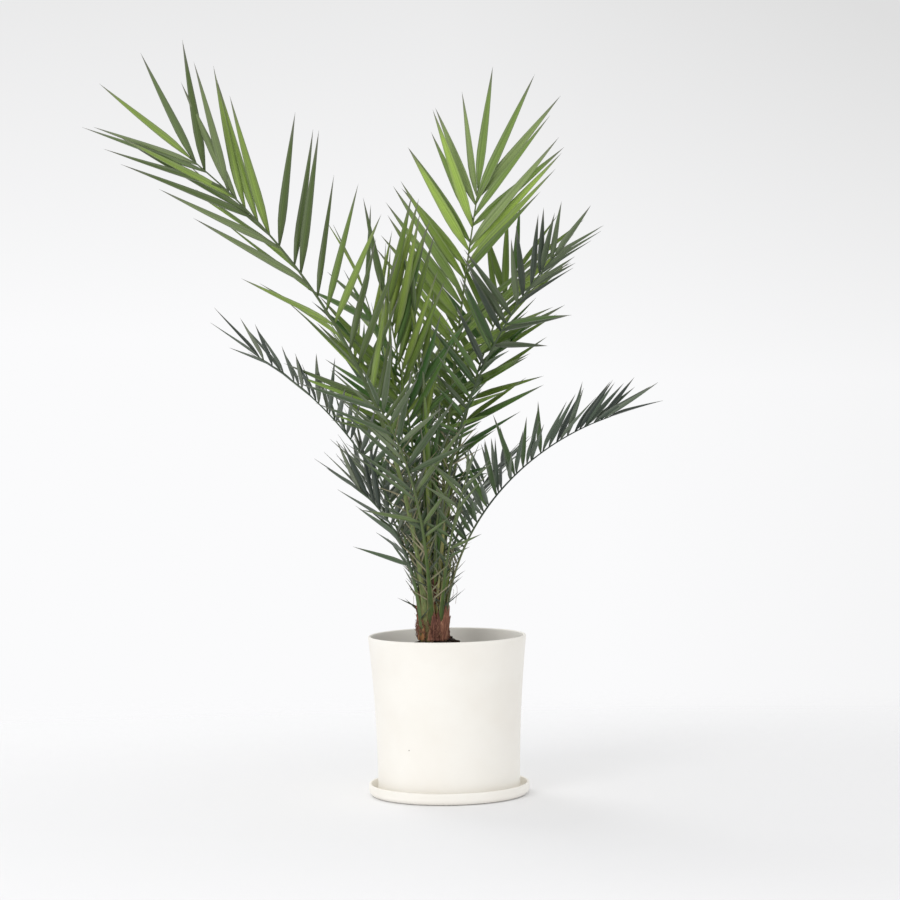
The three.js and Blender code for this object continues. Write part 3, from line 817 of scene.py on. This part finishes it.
# Spines: the lowest leaflets are short, stiff and sharp, in pairs on the bare petiole
spines = dict(
    seedShift=31, first=0.07, spacing=13, short=44, long=66, width=4.8, open=42, fold=40, base=0.6,
    widest=0.25, tip=1, point=0.03, shadeDraws=280,
)
spineStray = dict(
    place=(0.5, 0), open=(20, 40), rise=(25, 80), length=(0.3, 120), width=(0.2, 160), bow=(0.05, 200),
    sweep=(0.05, 240),
)


def addSpines(bm, mould, frond):
    points = ribPoints(frond)
    seed = frond["seed"] + spines["seedShift"]
    count = int(frond["length"] * (frond["bare"] - spines["first"]) / spines["spacing"])
    for k in range(2 * count):
        strays = [strayed(spineStray, kind, seed, k) for kind in spineStray]
        place, opening, rise, longer, wider, bow, sweep = strays
        share = (k // 2 + 0.5 + place) / count
        s = mix(spines["first"], frond["bare"], share)
        along, side, up = frondFrame(frond, s)
        way = leafWay(along, side, up, sideSign(k), radians(spines["open"] + opening),
                      radians(frond["rise"] * share + rise))
        across = squareTo(way, along)
        length = mix(spines["short"], spines["long"], share) * (1 + longer)
        width = spines["width"] * (1 + wider)
        face = way.cross(across)
        shade = int(len(spineColours) * chance(seed, k + spines["shadeDraws"]))
        place = bladePlace(ribPoint(points, s), way, across, face, length, width, (bow, sweep, 0), spines)
        stamp(bm, mould, place, shade)


# Young leaves, still folded, stand as a tight bundle in the middle of the crown, with a collar at its foot
folded = dict(
    turn=40, longer=0.12, bow=0.05, sweep=0.05, twist=30, closing=0.7, base=0.6, full=0.35, late=0.5,
    tip=1.5, point=0.03,
)
bundle = dict(
    folded, seed=41, count=13, radius=15, low=48, length=(210, 470), width=(14, 23), lean=(8, 1), fold=52,
    colours=[(104, 132, 48), (88, 120, 42), (68, 102, 38), (122, 138, 62)],
)
collar = dict(
    folded, seed=51, count=26, radius=22, low=20, length=(110, 270), width=(11, 17), lean=(10, 3), fold=46,
    colours=[(146, 154, 76), (124, 142, 64), (160, 158, 94), (104, 126, 56)],
)
goldenAngle = 137.5


def foldedOutline(shape, y):
    late = max(0, (y - shape["late"]) / (1 - shape["late"]))
    root = mix(shape["base"], 1, smoothstep(y, 0, shape["full"]))
    return max(root * (1 - late ** shape["tip"]), shape["point"])


def makeBundle(name, group):
    bm = bmesh.new()
    mould = bpy.data.meshes["bladeMould"]
    seed = group["seed"]
    for i in range(group["count"]):
        outward, level = turnAxes(radians(goldenAngle * i + group["turn"] * chance(seed, i)))
        inner = (i + 0.5) / group["count"]
        lean = radians(mix(*group["lean"], inner))
        root = overStem(group["low"]) + outward * (group["radius"] * (1 - inner * group["closing"]))
        way = outward * sin(lean) + upright * cos(lean)
        face = way.cross(level)
        length = mix(*group["length"], inner) * (1 + group["longer"] * wobble(seed + 1, i))
        width = mix(*group["width"], chance(seed + 2, i))
        strays = [group[kind] * wobble(seed + 3 + j, i) for j, kind in enumerate(("bow", "sweep", "twist"))]
        place = bladePlace(root, way, level, face, length, width, strays, group, foldedOutline)
        stamp(bm, mould, place, i % len(group["colours"]))
    finishPiece(name, bm, leafMaterials(name, group["colours"]), ["spear"])


def makeFronds():
    blade = bladeMould("bladeMould", leafShape["columns"], leafShape["rows"])
    rod = rodMould(rachis["sides"], rachis["rows"])
    for tone, (slotName, names, leafColours, stalkColours) in tones.items():
        leaves, stalks = bmesh.new(), bmesh.new()
        for name in names:
            addLeaflets(leaves, blade, fronds[name], len(leafColours))
            stamp(stalks, rod, stalkPlace(fronds[name]))
        finishPiece("leaflets" + tone, leaves, leafMaterials("leaf" + tone, leafColours), names)
        finishPiece("stalks" + tone, stalks, [stalkMaterial("stalk" + tone, stalkColours)], names)
    sharp = bmesh.new()
    for name, frond in fronds.items():
        if name != "spear":
            addSpines(sharp, blade, frond)
    finishPiece("petioleSpines", sharp, leafMaterials("spine", spineColours), tones["Dark"][1])


makeFronds()
makeBundle("foldedLeaves", bundle)
makeBundle("collarLeaves", collar)
print("fronds made")

# Stem: a short fibrous foot, clad in the cut bases of old leaves and their frayed fibre

# Each fibre's colours run from its hollows, where the dark is painted shade, to its pale ridges
fibreColours = {
    "Core": [(50, 31, 26), (100, 64, 54), (144, 102, 84)],
    "Base": [(80, 52, 42), (140, 94, 76), (186, 142, 114)],
    "Tan": [(92, 60, 36), (158, 112, 70), (190, 150, 108)],
    "Strand": [(84, 54, 42), (132, 92, 72), (176, 142, 112)],
}
cladding = ("Base", "Core", "Tan")
bases = dict(
    seed=5, count=26, width=23, length=40, low=4, high=56, tilt=9, tilts=(0.4, 1.2), sunk=1.5, drop=12,
    taper=0.55, cut=0.25, cutStart=0.92, lengthStray=0.25, lengthLoss=0.3, widthLoss=0.28, gapMargin=6,
    gapTop=40, wrap=0.35, tuck=0, torn=2.5, tornSeed=8, tornColumns=7, tornStep=13, tornPower=2, lump=0.8,
    lumpScale=(2.2, 5), thick=3.2, middle=1.2, edgeLoss=0.7, endLoss=0.5, tan=(5, 10, 18, 23),
)
# Woven fibre still clasps the feet of the petioles: highest on the side of highTurn, and open at gapTurn
mats = dict(
    seed=61, count=19, radius=29, radii=(-1, 2.4), width=21, low=30, high=50, highTurn=320, spread=(20, 75),
    highStray=0.2, turnStray=0.4, root=0.5, slant=0.3, gapTurn=243, gap=17, bulge=6.5, bulgeTurn=292,
    bulgeSpread=(8, 44), columns=11, rows=9, broad=1.2, taper=0.45, wrap=0.36, tuck=3.2, torn=13, tornSeed=65,
    tornColumns=5, tornStep=17, tornPower=4, lump=1.5, lumpScale=(2.4, 4), thick=1.6, middle=1.2,
    edgeLoss=0.6, endLoss=0.7, tan=(8, 11),
    patches=[(288, 70, 31, 44), (30, 66, 27, 34), (120, 70, 27, 36), (200, 60, 28, 34)],
)
strands = dict(
    seed=23, count=420, low=0, high=84, length=(14, 44), width=0.55, widths=(0.7, 1.5), slant=(8, 60),
    loose=9, loosePower=5, wave=1.2, waves=9, around=27, taper=0.7, sides=4, rows=6, overMats=(2.4, 3.2, 40),
    overStem=1.6, matsEnd=(26, 50),
)
# A few torn fibres hang from the petioles: turn and height of the top, distance from the axis, and length
threads = [(352, 106, 46, 44), (8, 96, 40, 26), (163, 84, 38, 22), (205, 120, 44, 30), (95, 104, 42, 36)]
thread = dict(reach=14, reachEnd=0.22, dropStart=0.12, sway=1.6, swings=5, width=0.32, rows=10)


def turnApart(a, b):
    return abs((a - b + 180) % 360 - 180)


def matRadius(facing):        # further out in front of the petioles that it has to clear
    apart = turnApart(facing, mats["bulgeTurn"])
    return mats["radius"] + mats["bulge"] * (1 - smoothstep(apart, *mats["bulgeSpread"]))


def stemRadius(h):
    if h < stem["waistHeight"]:
        return mix(stem["foot"], stem["waist"], smoothstep(h, 0, stem["waistHeight"]))
    late = clamp((h - stem["waistHeight"]) / (stem["height"] - stem["waistHeight"]))
    return mix(stem["waist"], stem["top"], late ** stem["taper"])


def leaned(radius, turn, h):        # a place on the stem, which leans a little to the left
    shift = h * sin(radians(stem["lean"]))
    return Vector((stem["x"] - shift + radius * cos(turn), stem["y"] + radius * sin(turn), soilHigh.z + h))


def finishFibre(name, bm, *kinds):
    materials = []
    for kind in kinds:
        known = bpy.data.materials.get("fibre" + kind)
        materials.append(known or grainyMaterial("fibre" + kind, fibreFinish, fibreColours[kind]))
    finishPiece(name, bm, materials, ["trunk"])


def makeStem():
    rows, low, high = stem["rows"], stem["low"], stem["height"]
    profile = [(stemRadius(h), z) for h, z in zip(spaced(0, high, rows), spaced(low, high, rows))]
    bm = turnedShape([(0, low)] + profile + [(0, high + stem["peak"])], stem["steps"])
    near = 0.01
    for vert in bm.verts:
        x, y, h = vert.co
        away, turn = hypot(x, y), atan2(y, x)
        ridge, tuft = [noise.noise(Vector((x * across, y * across, h * along + shift)))
                       for across, along, shift in (stem["ridges"], stem["tufts"])]
        rough = stem["relief"] * (ridge + stem["tuftShare"] * tuft) if h > low + near else 0
        rough -= stem["groove"] * exp(-((degrees(turn) % 360 - mats["gapTurn"]) / stem["grooveWidth"]) ** 2)
        vert.co = leaned(max(away + rough, 0) if away > 1 else away, turn, h)
    finishFibre("stemFibre", bm, "Core")


def baseOutline(y):        # a broad clasping foot that ends in a ragged cut
    return 1 - bases["taper"] * y - (bases["cut"] if y > bases["cutStart"] else 0)


def matOutline(y):        # broad at the foot and frayed away to the top
    return mats["broad"] - mats["taper"] * y * y


# Wraps a blade round the stem
def claspPlace(look, outline, i, root, way, level, face, length, width, slant=0):
    def place(x, y, z):
        half = width / 2 * outline(y)
        bend = look["wrap"] * x * x * half + look["tuck"] * y * y
        tear = wobble(look["tornSeed"], round(x * look["tornColumns"]) + look["tornStep"] * i)
        end = length * y + look["torn"] * tear * y ** look["tornPower"]
        lump = look["lump"] * noise.noise(Vector((x * look["lumpScale"][0], y * look["lumpScale"][1], i)))
        thick = z * look["thick"] * (look["middle"] - abs(x) * look["edgeLoss"]) * (1 - look["endLoss"] * y)
        return root + way * end + level * (x * half + slant * length * y) + face * (lump - bend + thick)
    return place


def makeBases():
    mould = bpy.data.meshes["bladeMould"]
    bm = bmesh.new()
    for i in range(bases["count"]):
        share = i / (bases["count"] - 1)
        turn = radians(i * goldenAngle)
        h = mix(bases["low"], bases["high"], share)
        inGap = turnApart(degrees(turn), mats["gapTurn"]) < mats["gap"] + bases["gapMargin"]
        if inGap and h < bases["gapTop"]:
            continue
        outward, level = turnAxes(turn)
        least, more = bases["tilts"]
        tilt = radians(bases["tilt"] * (least + more * chance(bases["seed"], i)))
        way = upright * cos(tilt) + outward * sin(tilt)
        face = outward * cos(tilt) - upright * sin(tilt)
        root = leaned(stemRadius(h) - bases["sunk"], turn, max(h - bases["drop"], stem["lowest"]))
        length = bases["length"] * (1 - bases["lengthLoss"] * share)
        length *= 1 + bases["lengthStray"] * wobble(bases["seed"] + 1, i)
        width = bases["width"] * (1 - bases["widthLoss"] * share)
        place = claspPlace(bases, baseOutline, i, root, way, level, face, length, width)
        stamp(bm, mould, place, 2 if i in bases["tan"] else i % 2)
    finishFibre("oldLeafBases", bm, *cladding)


def makeMats():
    bm = bmesh.new()
    mould = bladeMould("matMould", spaced(-1, 1, mats["columns"] - 1), mats["rows"])
    plans = []
    seed = mats["seed"]
    for i in range(mats["count"]):
        facing = 360 * (i + mats["turnStray"] * wobble(seed, i)) / mats["count"]
        fall = smoothstep(turnApart(facing, mats["highTurn"]), *mats["spread"])
        high = mix(mats["high"], mats["low"], fall) * (1 + mats["highStray"] * wobble(seed + 1, i))
        least, more = mats["radii"]
        radius = matRadius(facing) + least + more * chance(seed + 2, i)
        if abs(facing - mats["gapTurn"]) > mats["gap"]:
            plans.append((i, facing, mats["root"], radius, high))
    plans += [(mats["count"] + i, *patch) for i, patch in enumerate(mats["patches"])]
    for i, facing, low, radius, high in plans:
        turn = radians(facing)
        outward, level = turnAxes(turn)
        place = claspPlace(mats, matOutline, i, leaned(radius, turn, low), upright, level, outward, high,
                           mats["width"], mats["slant"] * wobble(seed + 3, i))
        stamp(bm, mould, place, 2 if i in mats["tan"] else i % 2)
    finishFibre("fibreMats", bm, *cladding)


def strandRadius(facing, h):        # low down the strands lie over the mats
    clear, sink, reach = strands["overMats"]
    over = matRadius(facing) + clear - sink * (h / reach) ** 2
    return mix(over, stemRadius(h) + strands["overStem"], smoothstep(h, *strands["matsEnd"]))


def makeStrands():
    draw = random.Random(strands["seed"])
    mould = rodMould(strands["sides"], strands["rows"])
    bm = bmesh.new()
    for i in range(strands["count"]):
        h = mix(strands["low"], strands["high"], draw.random())
        turn = draw.uniform(0, 2 * pi)
        length = draw.uniform(*strands["length"])
        slant = radians(draw.choice((-1, 1)) * draw.uniform(*strands["slant"]))
        loose = draw.random() ** strands["loosePower"] * strands["loose"]
        width = strands["width"] * draw.uniform(*strands["widths"])

        def place(x, y, z):
            climb = h + length * z * cos(slant)
            around = turn + length * (z - 0.5) * sin(slant) / strands["around"]
            radius = strandRadius(degrees(turn) % 360, min(climb, stem["height"])) + loose * z * z
            radius += strands["wave"] * sin(strands["waves"] * z + i)
            spot = leaned(radius, around, max(climb, stem["lowest"]))
            return spot + Vector((x * width, y * width, 0)) * (1 - strands["taper"] * z)
        stamp(bm, mould, place, i % 2)
    finishFibre("fibreStrands", bm, "Strand", "Base")


def makeThreads():
    mould = rodMould(strands["sides"], thread["rows"])
    bm = bmesh.new()
    for i, (turn, top, away, length) in enumerate(threads):
        outward = turnAxes(radians(turn))[0]
        start = overStem(top) + outward * (away - thread["reach"])

        def place(x, y, z):
            out = thread["reach"] * min(1, z / thread["reachEnd"])
            drop = max(0, z - thread["dropStart"]) * length
            sway = thread["sway"] * sin(thread["swings"] * z + i) * z
            side = Vector((x * thread["width"] + sway / 2, y * thread["width"], -drop))
            return start + outward * (out + sway) + side
        stamp(bm, mould, place)
    finishFibre("hangingThreads", bm, "Strand")


makeStem()
makeBases()
makeMats()
makeStrands()
makeThreads()
print("stem made")

# Stage: a pale floor that fades into a backdrop with painted shade towards the top and the right, and soft
# studio light

floorLook = dict(
    radius=5.2, sides=64, roughness=0.9, specular=0.1, colour=screenColour(245, 245, 246),
    fadeStart=0.5, fadeEnd=1.6, fadeAcross=0.45,
)
# the backdrop's fall from the low to the high colour and its greying on the right are painted shade
studio = dict(
    light=0.82, low=screenColour(251, 251, 252), high=screenColour(223, 223, 223), shadePlaces=(0.02, 0.23),
    rightShade=1.5, rightPaintedShade=0.35,
)
lamps = {        # place, size and power
    "key": ((-2.1, -3.3, 1.8), 2.0, 37),
    "fill": ((0.9, -3.6, 1.2), 2.0, 2),
    "back": ((-1.4, 2.4, 2.6), 1.8, 24),
}


def floorMaterial():
    material, shader = newMaterial("paleFloor", floorLook)
    feed(floorLook["colour"], shader.inputs["Base Color"])
    place = node(shader, "ShaderNodeTexCoord").outputs["Object"]
    squeezed = node(shader, "ShaderNodeVectorMath", {0: place, 1: (floorLook["fadeAcross"], 1, 1)},
                    operation="MULTIPLY")
    away = node(shader, "ShaderNodeVectorMath", {0: squeezed.outputs["Vector"]}, operation="LENGTH")
    start, end = floorLook["fadeStart"], floorLook["fadeEnd"]
    values = {"Value": away.outputs["Value"], "From Min": start, "From Max": end}
    fade = node(shader, "ShaderNodeMapRange", values, interpolation_type="SMOOTHSTEP")
    clear = node(shader, "ShaderNodeBsdfTransparent")
    values = {0: fade.outputs["Result"], 1: shader.outputs["BSDF"], 2: clear.outputs["BSDF"]}
    faded = node(shader, "ShaderNodeMixShader", values).outputs["Shader"]
    feed(faded, material.node_tree.nodes["Material Output"].inputs["Surface"])
    return material


def makeFloor():
    bm = bmesh.new()
    bmesh.ops.create_circle(bm, cap_ends=True, radius=floorLook["radius"], segments=floorLook["sides"])
    floor = newObject("studioFloor", keepMesh(bm, "studioFloor"))
    floor.data.materials.append(floorMaterial())


def reckon(beside, operation, *terms):
    return node(beside, "ShaderNodeMath", dict(enumerate(terms)), operation=operation).outputs[0]


# Even light all round, and a backdrop painted a little darker towards the top and on the right, as painted
# shade
def makeWorld():
    world = bpy.data.worlds.new("studio")
    world.use_nodes = True
    light = world.node_tree.nodes["Background"]
    feed(white, light.inputs["Color"])
    feed(studio["light"], light.inputs["Strength"])
    place = node(light, "ShaderNodeTexCoord").outputs["Generated"]
    split = node(light, "ShaderNodeSeparateXYZ", {"Vector": place}).outputs
    # painted shade on the backdrop: darker higher up, and greyer on the right
    right = reckon(light, "MAXIMUM", split["X"], 0)
    steeper = reckon(light, "MULTIPLY_ADD", right, studio["rightShade"], 1)
    height = reckon(light, "MULTIPLY", steeper, reckon(light, "MAXIMUM", split["Z"], 0))
    shade = reckon(light, "MULTIPLY_ADD", right, studio["rightPaintedShade"], height)
    colour = ramp(shade, studio["shadePlaces"], (studio["low"], studio["high"]))
    seen = node(light, "ShaderNodeBackground", {"Color": colour}).outputs["Background"]
    straight = node(light, "ShaderNodeLightPath").outputs["Is Camera Ray"]
    shown = node(light, "ShaderNodeMixShader", {0: straight, 1: light.outputs["Background"], 2: seen})
    feed(shown.outputs["Shader"], world.node_tree.nodes["World Output"].inputs["Surface"])
    bpy.context.scene.world = world
    bpy.context.scene.view_settings.view_transform = "Standard"


def makeLamps():
    crown = Vector((0, 0, 0.8))
    for name, (place, size, power) in lamps.items():
        data = bpy.data.lights.new(name, "AREA")
        data.shape = "DISK"
        data.size = size
        data.energy = power
        lamp = newObject(name, data)
        lamp.location = place
        lamp.rotation_euler = (crown - Vector(place)).to_track_quat("-Z", "Y").to_euler()
        lamp.visible_camera = False


makeFloor()
makeWorld()
makeLamps()
print("studio lit")
